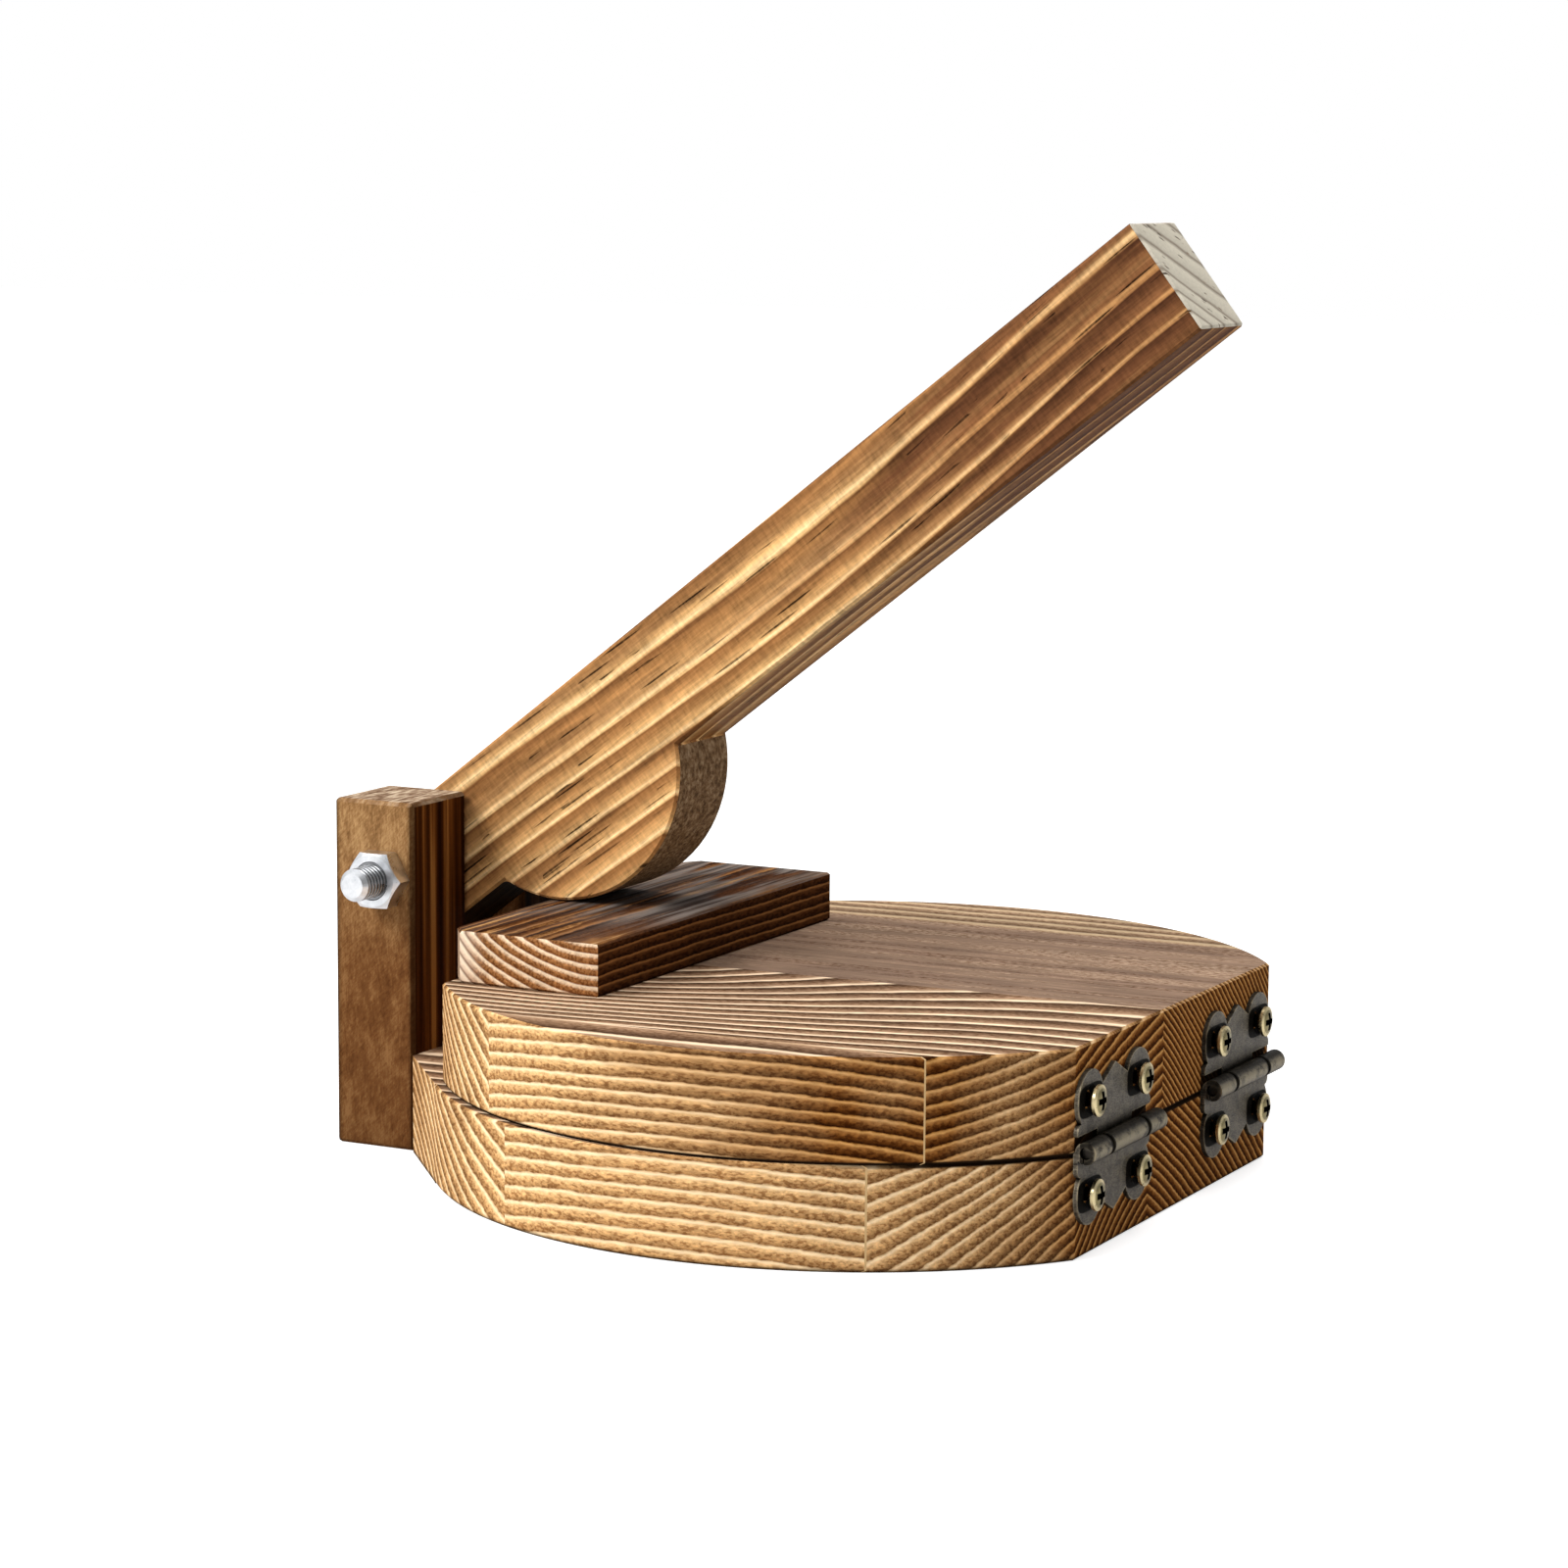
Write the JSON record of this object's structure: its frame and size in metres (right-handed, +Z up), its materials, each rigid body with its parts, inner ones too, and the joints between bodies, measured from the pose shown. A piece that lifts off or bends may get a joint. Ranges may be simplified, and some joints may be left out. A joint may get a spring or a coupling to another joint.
{
  "type": "tortilla press",
  "caption": "Wooden tortilla press: two hinged round boards, pressed together by a hand lever whose cam bears on a block.",
  "frame": {"origin": "centre of the base disc, on its underside", "axes": "+X from the posts to the hinges, +Y from the nut to the bolt's head, +Z up"},
  "size_m": [0.1674, 0.152, 0.1702],
  "materials": {
    "base_pine": "torched and oiled pine, golden brown",
    "top_pine": "torched and oiled pine, brown with light rings",
    "block_pine": "heavily torched pine, dark brown",
    "post_pine": "torched and oiled pine, mid brown",
    "lever_pine": "torched and oiled pine, golden brown",
    "bronze": "dark antique bronze plate, worn bright on the knuckles",
    "brass": "antique brass, worn bright on the head",
    "zinc": "bright zinc plate"
  },
  "bodies": {
    "base": {"base_stave_1": "base_pine", "base_stave_2": "base_pine", "base_stave_3": "base_pine", "base_stave_4": "base_pine", "front_post": "post_pine", "rear_post": "post_pine", "front_post_screws": "zinc", "rear_post_screws": "zinc", "pivot_bolt": "zinc", "pivot_nut": "zinc", "front_hinge_lower_leaf": "bronze", "front_hinge_pin": "bronze", "front_hinge_lower_screws": "brass", "rear_hinge_lower_leaf": "bronze", "rear_hinge_pin": "bronze", "rear_hinge_lower_screws": "brass"},
    "lever": {"lever": "lever_pine"},
    "top_board": {"top_stave_1": "top_pine", "top_stave_2": "top_pine", "top_stave_3": "top_pine", "top_stave_4": "top_pine", "pressure_block": "block_pine", "front_hinge_upper_leaf": "bronze", "front_hinge_upper_screws": "brass", "rear_hinge_upper_leaf": "bronze", "rear_hinge_upper_screws": "brass"}
  },
  "joints": [
    {"name": "lever_pivot", "type": "hinge", "parent": "base", "child": "lever", "pos_m": [-0.082, 0, 0.0503], "axis": [0, -1, 0], "range_deg": [0, 150]},
    {"name": "top_board_hinge", "type": "hinge", "parent": "base", "child": "top_board", "pos_m": [0.0648, 0, 0.0186], "axis": [0, 1, 0], "range_deg": [0, 160]}
  ],
  "couplings": [
    {"joint": "top_board_hinge", "follows": "lever_pivot", "ratio": 0.2}
  ]
}
